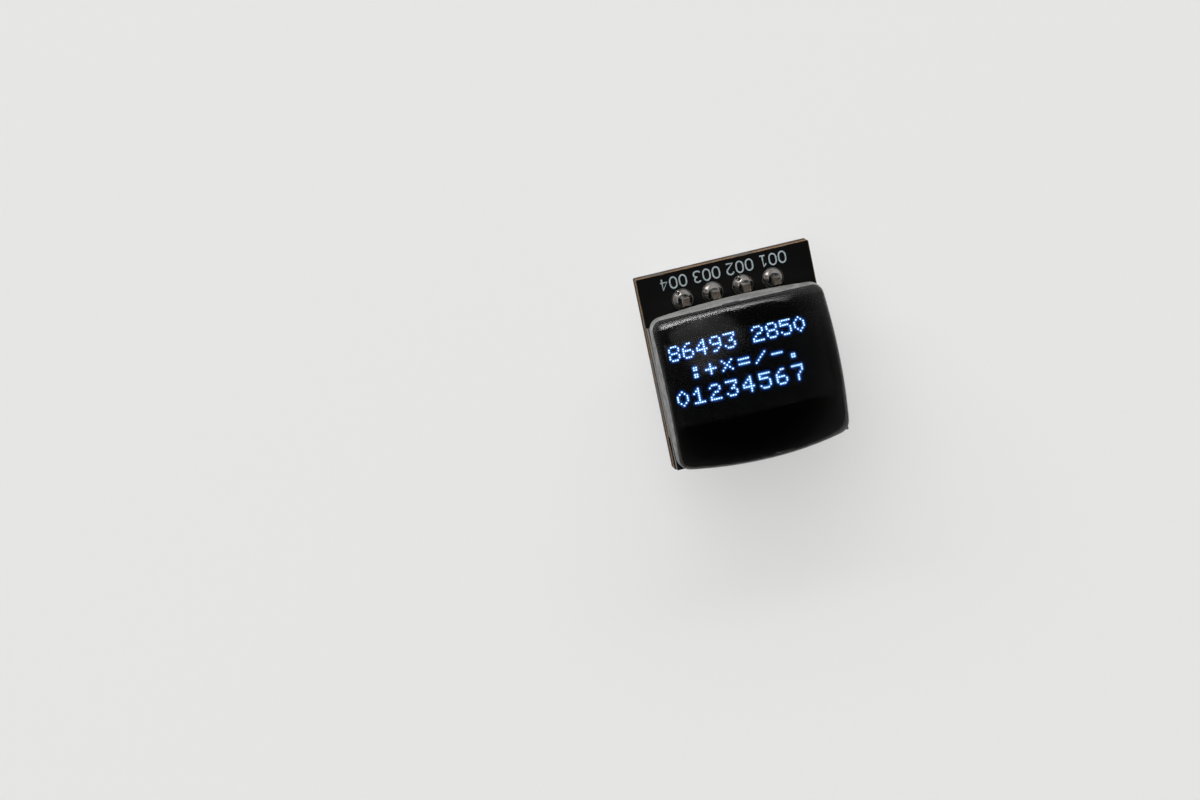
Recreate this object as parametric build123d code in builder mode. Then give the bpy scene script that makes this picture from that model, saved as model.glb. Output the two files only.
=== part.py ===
"""Small OLED module: a 64 by 32 dot display with a magnifying lens, on a four-pin header board.

Millimetres. The origin is the middle of the pin row, on the underside of the header housing.
+X runs along the pins, +Y points to the board edge nearest the header, +Z points out of the screen.
"""

import os

from build123d import *

# Pin header
pin_count = 4
pin_pitch = 2.54
pin_width = 0.64
pin_length = 11.6
pin_above_housing = 3.0
pin_tip_chamfer = 0.12
housing_depth = 2.54
housing_height = 2.54
housing_corner_chamfer = 0.42

# Circuit board, its copper and its solder
board_thickness = 1.2
board_edge_to_pins = 2.4
board_corner_radius = 0.15
board_past_glass_side = 0.03
board_past_glass_end = 0.2
flex_to_notch = 0.7
flex_notch_side_clearance = 0.3
flex_notch_corner_radius = 0.3
copper_thickness = 0.035
pin_hole_diameter = 1.0
pad_diameter = 1.75
pad_rim = 0.025
solder_height = 1.25
solder_neck_diameter = 0.76
solder_waist_height_share = 0.52
solder_waist_radius_share = 0.93

# Display panel: foam tape, rear cap glass, front glass, polarizer
pad_to_glass = 0.725
dot_columns = 64
dot_rows = 32
dot_pitch = 0.175
dots_to_glass_side = 1.65
dots_to_glass_top = 2.0
dots_to_cap_end = 1.5
glass_thickness = 0.5
tape_thickness = 0.3
tape_margin = 0.4
cap_thickness = 0.5
cap_recess_depth = 0.26
cap_recess_clearance = 0.45
desiccant_thickness = 0.12
desiccant_margin = 0.3
pixel_layer_thickness = 0.05
pixel_layer_margin = 0.15
polarizer_thickness = 0.2
polarizer_margin = 0.25

# Driver chip on the rear of the glass ledge
chip_end_inset = 0.3
chip_width = 0.9
chip_thickness = 0.3
cap_to_chip = 0.25
chip_to_flex = 0.55
sealant_margin = 0.18
sealant_thickness = 0.4

# Flexible cable, folded round the lower edge of the board
flex_side_margin = 0.16
flex_thickness = 0.1
flex_bond_length = 1.0
flex_bend_radius = 0.32
glass_to_flex = 0.28
flex_length_under_board = 3.6
contact_count = 14
contact_pitch = 0.62
contact_width = 0.32
contact_under_flex = 0.8
contact_beyond_flex = 0.6
contact_solder_length = 0.4

# Magnifying lens and the clear frame of adhesive under it
adhesive_thickness = 0.06
adhesive_margin = 0.35
adhesive_window_margin = 0.45
lens_side_overhang = 0.035
lens_end_overhang = 0.25
lens_to_pins = 0.08
lens_thickness = 4.3
lens_dome_radius = 14.9
lens_end_bow = 0.4
lens_side_bow = 0.08
lens_corner_radius = 1.0
lens_arris_radius = 0.45
lens_base_chamfer = 0.1

# Chip capacitors and resistors under the board
component_length = 1.6
component_width = 0.8
capacitor_height = 0.8
resistor_height = 0.45
capacitor_count = 6
resistor_count = 4
terminal_length = 0.35
terminal_wall = 0.03
component_pad_side = 0.06
component_pad_reach = 0.3
component_solder_reach = 0.22
component_solder_height_share = 0.6
capacitor_gap_share = 0.25
resistor_gap_share = 0.27

# Levels, from the underside of the housing up to the lens
board_bottom = housing_height + copper_thickness
board_top = board_bottom + board_thickness
pad_top = board_top + copper_thickness
pad_bottom = board_bottom - copper_thickness
tape_top = board_top + tape_thickness
cap_top = tape_top + cap_thickness
glass_top = cap_top + glass_thickness
polarizer_top = glass_top + polarizer_thickness
lens_base = polarizer_top + adhesive_thickness
pin_top = housing_height + pin_above_housing
pin_bottom = pin_top - pin_length

# Widths, worked out from the dots and the cable's tracks
dots_width = dot_columns * dot_pitch
dots_length = dot_rows * dot_pitch
glass_width = dots_width + 2 * dots_to_glass_side
board_width = glass_width + 2 * board_past_glass_side
lens_width = glass_width + 2 * lens_side_overhang
flex_width = contact_count * contact_pitch + 2 * flex_side_margin
chip_length = flex_width - 2 * chip_end_inset

# Places along Y, from the header to the lower edge
glass_high_y = -pad_diameter / 2 - pad_to_glass
dots_centre_y = glass_high_y - dots_to_glass_top - dots_length / 2
cap_low_y = dots_centre_y - dots_length / 2 - dots_to_cap_end
cap_length = glass_high_y - cap_low_y
cap_centre_y = (glass_high_y + cap_low_y) / 2
glass_low_y = cap_low_y - cap_to_chip - chip_width - chip_to_flex - flex_bond_length
glass_length = glass_high_y - glass_low_y
glass_centre_y = (glass_high_y + glass_low_y) / 2
board_low_y = glass_low_y - board_past_glass_end
board_length = board_edge_to_pins - board_low_y
board_centre_y = (board_edge_to_pins + board_low_y) / 2
lens_high_y = -pin_width / 2 - lens_to_pins
lens_low_y = glass_low_y - lens_end_overhang
lens_length = lens_high_y - lens_low_y
lens_centre_y = (lens_high_y + lens_low_y) / 2
flex_inner_y = glass_low_y - glass_to_flex
flex_far_y = flex_inner_y - flex_thickness / 2
flex_end_y = board_low_y + flex_length_under_board
chip_centre_y = cap_low_y - cap_to_chip - chip_width / 2

pin_places = [(i - (pin_count - 1) / 2) * pin_pitch for i in range(pin_count)]

os.makedirs("parts", exist_ok=True)


def finish(piece, name):
    """Label a finished piece and write its file."""
    piece.part.label = name
    export_step(piece.part, f"parts/{name}.step")


# Header housing: one moulded strip of four eight-sided segments, each gripping a pin
with BuildSketch() as segment:
    Rectangle(pin_pitch, housing_depth)
    chamfer(segment.vertices(), length=housing_corner_chamfer)

with BuildPart() as header_housing:
    with BuildSketch(Plane.XY):
        with GridLocations(pin_pitch, 0, pin_count, 1):
            add(segment.sketch)
        with GridLocations(pin_pitch, 0, pin_count, 1):
            Rectangle(pin_width, pin_width, mode=Mode.SUBTRACT)
    extrude(amount=housing_height)
finish(header_housing, "header_housing")

# Square header pins, pushed up through the board, with chamfered tips
for number, place in enumerate(pin_places, start=1):
    with BuildPart() as header_pin:
        with BuildSketch(Plane.XY.offset(pin_bottom)):
            with Locations((place, 0)):
                Rectangle(pin_width, pin_width)
        extrude(amount=pin_length)
        tips = header_pin.edges().group_by(Axis.Z)
        chamfer(tips[0] + tips[-1], length=pin_tip_chamfer)
    finish(header_pin, f"header_pin_{number}")

# Circuit board with the drilled holes, and a shallow notch where the cable passes
with BuildPart() as circuit_board:
    with BuildSketch(Plane.XY.offset(board_bottom)):
        with Locations((0, board_centre_y)):
            RectangleRounded(board_width, board_length, board_corner_radius)
        with GridLocations(pin_pitch, 0, pin_count, 1):
            Circle(pin_hole_diameter / 2 + copper_thickness, mode=Mode.SUBTRACT)
        with Locations((0, board_low_y)):
            notch_width = flex_width + 2 * flex_notch_side_clearance
            notch_depth = flex_inner_y + flex_to_notch - board_low_y
            RectangleRounded(
                notch_width, 2 * notch_depth, flex_notch_corner_radius, mode=Mode.SUBTRACT
            )
    extrude(amount=board_thickness)
finish(circuit_board, "circuit_board")

# Plated holes: a copper barrel with a pad ring at each end, like a rivet
with BuildPart() as plated_holes:
    for place in pin_places:
        bore_radius = pin_hole_diameter / 2
        barrel_radius = bore_radius + copper_thickness
        with BuildSketch(Plane(origin=(place, 0, 0), x_dir=(1, 0, 0), z_dir=(0, -1, 0))):
            with BuildLine():
                Polyline(
                    (bore_radius, pad_bottom),
                    (pad_diameter / 2, pad_bottom),
                    (pad_diameter / 2, board_bottom),
                    (barrel_radius, board_bottom),
                    (barrel_radius, board_top),
                    (pad_diameter / 2, board_top),
                    (pad_diameter / 2, pad_top),
                    (bore_radius, pad_top),
                    close=True,
                )
            make_face()
        revolve(axis=Axis((place, 0, 0), (0, 0, 1)))
finish(plated_holes, "plated_holes")

# Solder joints: a round-shouldered dome on the upper pad, and solder drawn down the hole
for number, place in enumerate(pin_places, start=1):
    with BuildPart() as solder_joint:
        with BuildSketch(Plane(origin=(place, 0, 0), x_dir=(1, 0, 0), z_dir=(0, -1, 0))):
            base_radius = pad_diameter / 2 - pad_rim
            neck_radius = solder_neck_diameter / 2
            waist = (
                base_radius * solder_waist_radius_share,
                pad_top + solder_height * solder_waist_height_share,
            )
            with BuildLine():
                Line((0, pad_top), (base_radius, pad_top))
                ThreePointArc((base_radius, pad_top), waist, (neck_radius, pad_top + solder_height))
                Line((neck_radius, pad_top + solder_height), (0, pad_top + solder_height))
                Line((0, pad_top + solder_height), (0, pad_top))
            make_face()
        revolve(axis=Axis((place, 0, 0), (0, 0, 1)))
        with BuildSketch(Plane.XY.offset(pad_bottom)):
            with Locations((place, 0)):
                Circle(pin_hole_diameter / 2)
        extrude(amount=pad_top - pad_bottom)
        with BuildSketch(Plane.XY.offset(pad_bottom)):
            with Locations((place, 0)):
                Rectangle(pin_width, pin_width)
        extrude(amount=pad_top - pad_bottom + solder_height, mode=Mode.SUBTRACT)
    finish(solder_joint, f"solder_joint_{number}")

# Black foam tape between the board and the panel
with BuildPart() as mounting_tape:
    with BuildSketch(Plane.XY.offset(board_top)):
        with Locations((0, cap_centre_y)):
            Rectangle(glass_width - 2 * tape_margin, cap_length - 2 * tape_margin)
    extrude(amount=tape_thickness)
finish(mounting_tape, "mounting_tape")

# Rear cap glass, etched out in the middle so that only its rim is sealed to the front glass
with BuildPart() as cap_glass:
    with BuildSketch(Plane.XY.offset(tape_top)):
        with Locations((0, cap_centre_y)):
            Rectangle(glass_width, cap_length)
    extrude(amount=cap_thickness)
    recess_side = pixel_layer_margin + cap_recess_clearance
    recess_width = dots_width + 2 * recess_side
    recess_length = dots_length + 2 * recess_side
    with BuildSketch(Plane.XY.offset(cap_top)):
        with Locations((0, dots_centre_y)):
            Rectangle(recess_width, recess_length)
    extrude(amount=-cap_recess_depth, mode=Mode.SUBTRACT)
finish(cap_glass, "cap_glass")

# Drying sheet stuck to the floor of the etched recess
with BuildPart() as desiccant_sheet:
    with BuildSketch(Plane.XY.offset(cap_top - cap_recess_depth)):
        with Locations((0, dots_centre_y)):
            Rectangle(recess_width - 2 * desiccant_margin, recess_length - 2 * desiccant_margin)
    extrude(amount=desiccant_thickness)
finish(desiccant_sheet, "desiccant_sheet")

# Front glass, longer than the cap by the ledge that carries the driver chip and the cable
with BuildPart() as front_glass:
    with BuildSketch(Plane.XY.offset(cap_top)):
        with Locations((0, glass_centre_y)):
            Rectangle(glass_width, glass_length)
    extrude(amount=glass_thickness)
finish(front_glass, "front_glass")

# Light-emitting layer on the rear of the front glass, over the 64 by 32 dots
with BuildPart() as pixel_layer:
    with BuildSketch(Plane.XY.offset(cap_top)):
        with Locations((0, dots_centre_y)):
            Rectangle(dots_width + 2 * pixel_layer_margin, dots_length + 2 * pixel_layer_margin)
    extrude(amount=-pixel_layer_thickness)
finish(pixel_layer, "pixel_layer")

# Polarizer film over the part of the front glass that is backed by the cap
with BuildPart() as polarizer:
    with BuildSketch(Plane.XY.offset(glass_top)):
        with Locations((0, cap_centre_y)):
            Rectangle(glass_width - 2 * polarizer_margin, cap_length - 2 * polarizer_margin)
    extrude(amount=polarizer_thickness)
finish(polarizer, "polarizer")

# Black light-stop tape on the front of the ledge, level with the polarizer
ledge_tape_high_y = cap_low_y + polarizer_margin
ledge_tape_low_y = glass_low_y + polarizer_margin
with BuildPart() as ledge_tape:
    with BuildSketch(Plane.XY.offset(glass_top)):
        with Locations((0, (ledge_tape_high_y + ledge_tape_low_y) / 2)):
            Rectangle(glass_width - 2 * polarizer_margin, ledge_tape_high_y - ledge_tape_low_y)
    extrude(amount=polarizer_thickness)
finish(ledge_tape, "ledge_tape")

# Bare driver chip, face up against the rear of the ledge
with BuildPart() as driver_chip:
    with BuildSketch(Plane.XY.offset(cap_top)):
        with Locations((0, chip_centre_y)):
            Rectangle(chip_length, chip_width)
    extrude(amount=-chip_thickness)
finish(driver_chip, "driver_chip")

# Black sealant that covers the chip
with BuildPart() as chip_sealant:
    with BuildSketch(Plane.XY.offset(cap_top)):
        with Locations((0, chip_centre_y)):
            Rectangle(chip_length + 2 * sealant_margin, chip_width + 2 * sealant_margin)
    extrude(amount=-sealant_thickness)
    lower_edges = chip_sealant.edges().group_by(Axis.Z)[0]
    chamfer(lower_edges, length=(sealant_thickness - chip_thickness) / 2)
    with BuildSketch(Plane.XY.offset(cap_top)):
        with Locations((0, chip_centre_y)):
            Rectangle(chip_length, chip_width)
    extrude(amount=-chip_thickness, mode=Mode.SUBTRACT)
finish(chip_sealant, "chip_sealant")

# Flexible cable: bonded under the ledge, bent down past the board and back beneath it
with BuildPart() as flex_cable:
    with BuildSketch(Plane.YZ):
        upper_run_z = cap_top - flex_thickness / 2
        lower_run_z = pad_bottom - flex_thickness / 2
        with BuildLine():
            FilletPolyline(
                (glass_low_y + flex_bond_length, upper_run_z),
                (flex_far_y, upper_run_z),
                (flex_far_y, lower_run_z),
                (flex_end_y, lower_run_z),
                radius=flex_bend_radius,
            )
        trace(line_width=flex_thickness)
    extrude(amount=flex_width / 2, both=True)
finish(flex_cable, "flex_cable")

# Contact pads under the board, one for each track of the cable
with BuildPart() as flex_pads:
    contact_length = contact_under_flex + contact_beyond_flex
    contact_centre_y = flex_end_y + (contact_beyond_flex - contact_under_flex) / 2
    with BuildSketch(Plane.XY.offset(pad_bottom)):
        with Locations((0, contact_centre_y)):
            with GridLocations(contact_pitch, 0, contact_count, 1):
                Rectangle(contact_width, contact_length)
    extrude(amount=copper_thickness)
finish(flex_pads, "flex_pads")

# Solder fillets from the contact pads up the end of the cable
with BuildPart() as flex_solder:
    for i in range(contact_count):
        side = (i - (contact_count - 1) / 2) * contact_pitch - contact_width / 2
        with BuildSketch(Plane.YZ.offset(side)):
            with BuildLine():
                Polyline(
                    (flex_end_y, pad_bottom),
                    (flex_end_y + contact_solder_length, pad_bottom),
                    (flex_end_y, pad_bottom - flex_thickness),
                    close=True,
                )
            make_face()
        extrude(amount=contact_width)
finish(flex_solder, "flex_solder")

# Clear adhesive frame that holds the lens, open over the lit area
frame_high_y = glass_high_y - adhesive_margin
frame_low_y = glass_low_y + adhesive_margin
with BuildPart() as lens_adhesive:
    with BuildSketch(Plane.XY.offset(polarizer_top)):
        with Locations((0, (frame_high_y + frame_low_y) / 2)):
            Rectangle(glass_width - 2 * adhesive_margin, frame_high_y - frame_low_y)
        with Locations((0, dots_centre_y)):
            Rectangle(
                dots_width + 2 * adhesive_window_margin,
                dots_length + 2 * adhesive_window_margin,
                mode=Mode.SUBTRACT,
            )
    extrude(amount=adhesive_thickness)
finish(lens_adhesive, "lens_adhesive")

# Moulded magnifier: a barrel outline with straight walls, cut by a sphere for the face,
# with a rolled arris between wall and dome
with BuildPart() as lens:
    half_width = lens_width / 2
    half_length = lens_length / 2
    corner_x = half_width - lens_side_bow
    corner_y = half_length - lens_end_bow
    with BuildSketch(Plane((0, lens_centre_y, lens_base))) as barrel_outline:
        with BuildLine():
            ThreePointArc((-corner_x, corner_y), (0, half_length), (corner_x, corner_y))
            ThreePointArc((corner_x, corner_y), (half_width, 0), (corner_x, -corner_y))
            ThreePointArc((corner_x, -corner_y), (0, -half_length), (-corner_x, -corner_y))
            ThreePointArc((-corner_x, -corner_y), (-half_width, 0), (-corner_x, corner_y))
        make_face()
        fillet(barrel_outline.vertices(), radius=lens_corner_radius)
    extrude(amount=lens_thickness)
    with Locations((0, lens_centre_y, lens_base + lens_thickness - lens_dome_radius)):
        Sphere(lens_dome_radius, mode=Mode.INTERSECT)
    dome = lens.faces().sort_by(Axis.Z)[-1]
    fillet(dome.edges(), radius=lens_arris_radius)
    chamfer(lens.faces().sort_by(Axis.Z)[0].edges(), length=lens_base_chamfer)
finish(lens, "lens")


def component_places(count, centre_y):
    """Centres of a row of parts spread evenly across the board."""
    spacing = board_width / (count + 1)
    return [((i - (count - 1) / 2) * spacing, centre_y) for i in range(count)]


def make_component(name, number, centre, along, height):
    """A chip part under the board: a ceramic block with a metal cup over each end."""
    turn = 90 if along == "Y" else 0
    base = Plane((centre[0], centre[1], pad_bottom)).rotated((0, 0, turn))
    block_length = component_length - 2 * terminal_wall
    block_width = component_width - 2 * terminal_wall
    with BuildPart() as block:
        with BuildSketch(base.offset(-terminal_wall)):
            Rectangle(block_length, block_width)
        extrude(amount=-(height - 2 * terminal_wall))
    finish(block, f"{name}_body_{number}")

    cup_centre = (component_length - terminal_length) / 2
    with BuildPart() as cups:
        with BuildSketch(base):
            with Locations((-cup_centre, 0), (cup_centre, 0)):
                Rectangle(terminal_length, component_width)
        extrude(amount=-height)
        outer_corners = cups.edges().filter_by(Axis.Z)
        chamfer(outer_corners, length=terminal_wall)
        with BuildSketch(base.offset(-terminal_wall)):
            Rectangle(block_length, block_width)
        extrude(amount=-(height - 2 * terminal_wall), mode=Mode.SUBTRACT)
    finish(cups, f"{name}_terminals_{number}")


free_length = -housing_depth / 2 - flex_end_y - contact_beyond_flex - component_length - component_width
capacitor_y = -housing_depth / 2 - capacitor_gap_share * free_length - component_length / 2
resistor_y = capacitor_y - (component_length + component_width) / 2 - resistor_gap_share * free_length
capacitor_places = component_places(capacitor_count, capacitor_y)
resistor_places = component_places(resistor_count, resistor_y)

for number, place in enumerate(capacitor_places, start=1):
    make_component("capacitor", number, place, "Y", capacitor_height)
for number, place in enumerate(resistor_places, start=1):
    make_component("resistor", number, place, "X", resistor_height)

component_bases = [
    (Plane((x, y, pad_bottom)).rotated((0, 0, 90)), capacitor_height) for x, y in capacitor_places
] + [(Plane((x, y, pad_bottom)), resistor_height) for x, y in resistor_places]

# Copper pads under the ends of the chip parts
with BuildPart() as component_pads:
    pad_length = terminal_length + component_pad_reach
    pad_centre = component_length / 2 - terminal_length + pad_length / 2
    for base, _ in component_bases:
        with BuildSketch(base):
            with Locations((-pad_centre, 0), (pad_centre, 0)):
                Rectangle(pad_length, component_width + 2 * component_pad_side)
        extrude(amount=copper_thickness)
finish(component_pads, "component_pads")

# Solder fillets between those pads and the metal ends
with BuildPart() as component_solder:
    for base, height in component_bases:
        for side in (-1, 1):
            rise = height * component_solder_height_share
            end = side * component_length / 2
            section = Plane(base.origin, x_dir=base.x_dir, z_dir=-base.y_dir)
            with BuildSketch(section):
                with BuildLine():
                    Polyline(
                        (end, 0),
                        (end + side * component_solder_reach, 0),
                        (end, -rise),
                        close=True,
                    )
                make_face()
            extrude(amount=component_width / 2 - terminal_wall, both=True)
finish(component_solder, "component_solder")
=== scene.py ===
"""Looks of a small OLED module: lit dots under a domed magnifier, on a soldered four-pin board."""

import math

import bmesh
import bpy
from mathutils import Matrix, Vector, noise


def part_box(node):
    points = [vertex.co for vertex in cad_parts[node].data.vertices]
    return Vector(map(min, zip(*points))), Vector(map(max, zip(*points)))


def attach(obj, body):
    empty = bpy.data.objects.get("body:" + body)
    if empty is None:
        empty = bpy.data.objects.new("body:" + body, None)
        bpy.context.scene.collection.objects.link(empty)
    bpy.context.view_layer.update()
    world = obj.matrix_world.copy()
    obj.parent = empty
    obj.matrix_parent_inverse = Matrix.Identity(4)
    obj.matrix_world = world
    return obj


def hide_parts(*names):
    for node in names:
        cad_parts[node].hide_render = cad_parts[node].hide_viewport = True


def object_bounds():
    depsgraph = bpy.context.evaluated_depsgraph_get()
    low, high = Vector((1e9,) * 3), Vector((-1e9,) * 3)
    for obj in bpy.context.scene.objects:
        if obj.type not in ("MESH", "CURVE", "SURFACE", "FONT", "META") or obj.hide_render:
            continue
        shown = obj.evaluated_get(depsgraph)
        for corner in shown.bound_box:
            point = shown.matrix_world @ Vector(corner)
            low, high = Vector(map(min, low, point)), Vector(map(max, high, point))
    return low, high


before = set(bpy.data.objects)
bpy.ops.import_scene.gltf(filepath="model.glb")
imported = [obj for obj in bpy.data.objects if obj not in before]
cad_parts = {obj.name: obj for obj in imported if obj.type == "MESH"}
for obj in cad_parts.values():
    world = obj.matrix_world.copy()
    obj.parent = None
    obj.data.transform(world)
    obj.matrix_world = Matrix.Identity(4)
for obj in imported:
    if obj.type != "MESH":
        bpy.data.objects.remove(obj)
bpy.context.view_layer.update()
MM = 0.001


# Circuit board
# A 1.2 mm glass-epoxy board under black solder mask. Its edges were snapped and left bare, so
# brown laminate shows there, and the mask is chipped back a little along the rim.
class Wire:
    """A shader socket that takes part in sums, products and limits."""

    def __init__(self, tree, socket):
        self.tree = tree
        self.socket = socket

    def math(self, operation, *values, clamp=False):
        node = self.tree.nodes.new("ShaderNodeMath")
        node.operation = operation
        node.use_clamp = clamp
        for target, value in zip(node.inputs, values):
            plug(self.tree, target, value)
        return Wire(self.tree, node.outputs[0])

    def __add__(self, other):
        return self.math("ADD", self, other)

    def __radd__(self, other):
        return self.math("ADD", other, self)

    def __sub__(self, other):
        return self.math("SUBTRACT", self, other)

    def __rsub__(self, other):
        return self.math("SUBTRACT", other, self)

    def __mul__(self, other):
        return self.math("MULTIPLY", self, other)

    def __rmul__(self, other):
        return self.math("MULTIPLY", other, self)

    def __truediv__(self, other):
        return self.math("DIVIDE", self, other)

    def __abs__(self):
        return self.math("ABSOLUTE", self)

    def least(self, other):
        return self.math("MINIMUM", self, other)

    def most(self, other):
        return self.math("MAXIMUM", self, other)

    def ramp(self, low, high):
        """0 below low, 1 above high, and a straight slope between them."""
        return self.math("MULTIPLY", (self - low), 1 / (high - low), clamp=True)


def plug(tree, target, value):
    """Link a wire to a socket, or set the socket's own value."""
    if isinstance(value, Wire):
        tree.links.new(value.socket, target)
    else:
        target.default_value = value


class Nodes:
    """A node tree, and the one way in which nodes other than sums are added to it."""

    def __init__(self, tree):
        self.tree = tree

    def node(self, kind, settings, values, output=0):
        node = self.tree.nodes.new("ShaderNode" + kind)
        for name, value in settings.items():
            if name == "stops":
                set_stops(node.color_ramp, value)
            else:
                setattr(node, name, value)
        for socket, value in values.items():
            plug(self.tree, node.inputs[socket], value)
        return Wire(self.tree, node.outputs[output])

    def parts(self, vector):
        """The three parts of a vector as single numbers."""
        split = self.node("SeparateXYZ", {}, {"Vector": vector})
        outputs = split.socket.node.outputs
        return [Wire(self.tree, outputs[axis]) for axis in "XYZ"]

    def blend(self, factor, first, second, way="MIX"):
        """Two colours put together."""
        settings = {"data_type": "RGBA", "blend_type": way}
        return self.node("Mix", settings, {0: factor, 6: first, 7: second}, 2)

    def ray_from_camera(self):
        return self.node("LightPath", {}, {}, "Is Camera Ray")


def set_stops(color_ramp, stops):
    """Give a colour ramp its greys, from pairs of place and brightness."""
    while len(color_ramp.elements) < len(stops):
        color_ramp.elements.new(0.5)
    for element, (place, grey) in zip(color_ramp.elements, stops):
        element.position = place
        element.color = (grey, grey, grey, 1)


class Finish(Nodes):
    """A material, built from the principled shader and the nodes that feed it."""

    def __init__(self, name, shader):
        self.material = bpy.data.materials.new(name)
        self.material.use_nodes = True
        super().__init__(self.material.node_tree)
        self.shader = self.tree.nodes["Principled BSDF"]
        self.set(shader)

    def set(self, values):
        for socket, value in values.items():
            plug(self.tree, self.shader.inputs[socket], value)

    def place(self):
        """Object coordinates, in metres."""
        return self.node("TexCoord", {}, {}, "Object")

    def axes(self):
        """The three object coordinates as single numbers."""
        return self.parts(self.place())

    def level(self):
        """Height above the frame's zero."""
        return self.axes()[2]

    def upness(self):
        """How much the surface faces up or down: 1 on flat faces, 0 on upright ones."""
        normal = self.node("NewGeometry", {}, {}, "Normal")
        return abs(self.parts(normal)[2])

    def grain(self, size, detail=3.0, rough=0.55):
        """Soft noise whose patches are about size across, in metres."""
        settings = {"noise_dimensions": "3D"}
        values = {"Vector": self.place(), "Scale": 1 / size, "Detail": detail, "Roughness": rough}
        return self.node("TexNoise", settings, values)

    def bump(self, height, distance, strength=1.0):
        values = {"Height": height, "Distance": distance, "Strength": strength}
        self.set({"Normal": self.node("Bump", {}, values)})


def dress(node_name, finish):
    """Give a CAD node its finish."""
    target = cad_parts[node_name]
    target.data.materials.clear()
    target.data.materials.append(finish.material)


MASK_BLACK = (0.0045, 0.0045, 0.0045, 1)
LAMINATE_BROWN = (0.34, 0.215, 0.12, 1)
LAMINATE_DARK = (0.10, 0.062, 0.035, 1)
BARE_RIM = 0.05 * MM
MASK_FADE = 0.03 * MM
CHIP_SIZE = 0.9 * MM
RESIN_SIZE = 2.2 * MM
FIBRE_SIZE = 0.12 * MM
EDGE_DARKENS_FROM = 0.55 * MM
EDGE_DARKENS_TO = 0.85 * MM
EDGE_DARKENING_WAVE = 0.5 * MM
BOARD_RELIEF_SIZE = 0.35 * MM
BOARD_RELIEF = 0.012 * MM

board_low, board_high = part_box("circuit_board")


def laminate():
    """Black mask on both faces, and brown edges that turn darker towards the lower face, with smears of
    resin.
    """
    finish = Finish("laminate", {"IOR": 1.5, "Specular IOR Level": 0.22})
    x, y, z = finish.axes()
    half_width = (board_high[0] - board_low[0]) / 2
    middle_y = (board_high[1] + board_low[1]) / 2
    half_length = (board_high[1] - board_low[1]) / 2
    rim = (half_width - abs(x)).least(half_length - abs(y - middle_y))
    chips = finish.grain(CHIP_SIZE, 4.0, 0.7)
    bare_rim = BARE_RIM * chips.ramp(0.35, 0.75)
    masked = (rim - bare_rim).ramp(0, MASK_FADE) * finish.upness().ramp(0.6, 0.8)
    resin = finish.grain(RESIN_SIZE, 3.0, 0.6).ramp(0.52, 0.56) * (1 - finish.upness())
    masked = masked.most(0.9 * resin)
    fibres = finish.grain(FIBRE_SIZE, 2.0)
    brown = finish.blend(fibres.ramp(0.3, 0.7), LAMINATE_DARK, LAMINATE_BROWN)
    # The brown edge turns nearly black towards the board's lower face, along a wavy line.
    lower_edge_darkening = (board_high[2] - z + EDGE_DARKENING_WAVE * chips).ramp(EDGE_DARKENS_FROM, EDGE_DARKENS_TO)
    brown = finish.blend(0.8 * lower_edge_darkening, brown, MASK_BLACK)
    finish.set({
        "Base Color": finish.blend(masked, brown, MASK_BLACK),
        "Roughness": 0.75 - 0.42 * masked + 0.06 * fibres,
    })
    finish.bump(finish.grain(BOARD_RELIEF_SIZE, 3.0) + 2.0 * masked, BOARD_RELIEF, 0.5)
    return finish


dress("circuit_board", laminate())


# Printed legend
# White ink screened on the mask beside the pins. It reads from the header side, so it is upside
# down here, and it holds plain three-figure numbers, one for each pin.
CAP_HEIGHT = 0.91 * MM
FIGURE_WIDTH = 0.56 * MM
FIGURE_PITCH = 0.8 * MM
INK_STROKE = 0.13 * MM
INK_THICKNESS = 0.014 * MM
LEGEND_ABOVE_PINS = 1.5 * MM
LEGEND_PITCH = 2.79 * MM
LEGEND_SHIFT = -0.08 * MM
INK_COLOUR = (0.42, 0.50, 0.53, 1)
WORN_INK_COLOUR = (0.252, 0.30, 0.318, 1)
INK_WEAR_SIZE = 0.08 * MM
INK_RELIEF = 0.004 * MM
PIN_COUNT = 4


def arc(centre, radii, start, end, steps=10):
    """Points along part of an ellipse, with angles in degrees."""
    points = []
    for i in range(steps + 1):
        angle = math.radians(start + (end - start) * i / steps)
        across = centre[0] + radii[0] * math.cos(angle)
        up = centre[1] + radii[1] * math.sin(angle)
        points.append((across, up))
    return points


def figure_strokes(figure):
    """Pen strokes of a figure in a box one wide and one high."""
    if figure == "0":
        upper = arc((0.5, 0.62), (0.5, 0.38), 0, 180)
        lower = arc((0.5, 0.38), (0.5, 0.38), 180, 360)
        return [upper + lower + [(1, 0.62)]]
    if figure == "1":
        return [[(0.15, 0.75), (0.55, 1), (0.55, 0)], [(0.15, 0), (0.95, 0)]]
    if figure == "2":
        return [arc((0.5, 0.7), (0.48, 0.3), 165, -30) + [(0.02, 0), (1, 0)]]
    if figure == "3":
        upper = arc((0.45, 0.75), (0.45, 0.25), 150, -90)
        lower = arc((0.45, 0.26), (0.52, 0.26), 90, -155)
        return [upper, lower]
    return [[(0.72, 0), (0.72, 1), (0, 0.32), (1, 0.32)]]


def printed_strokes(name, strokes, width, thickness):
    """A mesh of flat ink lines with soft edges, from strokes in metres at one level."""
    curve = bpy.data.curves.new(name, "CURVE")
    curve.dimensions = "3D"
    curve.bevel_depth = width / 2
    curve.bevel_resolution = 2
    curve.use_fill_caps = True
    for stroke in strokes:
        spline = curve.splines.new("POLY")
        spline.points.add(len(stroke) - 1)
        for point, (x, y) in zip(spline.points, stroke):
            point.co = (x, y, 0, 1)
    holder = bpy.data.objects.new(name, curve)
    bpy.context.scene.collection.objects.link(holder)
    bpy.context.view_layer.update()
    depsgraph = bpy.context.evaluated_depsgraph_get()
    mesh = bpy.data.meshes.new_from_object(holder.evaluated_get(depsgraph))
    bpy.data.objects.remove(holder)
    mesh.transform(Matrix.Diagonal((1, 1, thickness / (width / 2), 1)))
    return mesh


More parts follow.
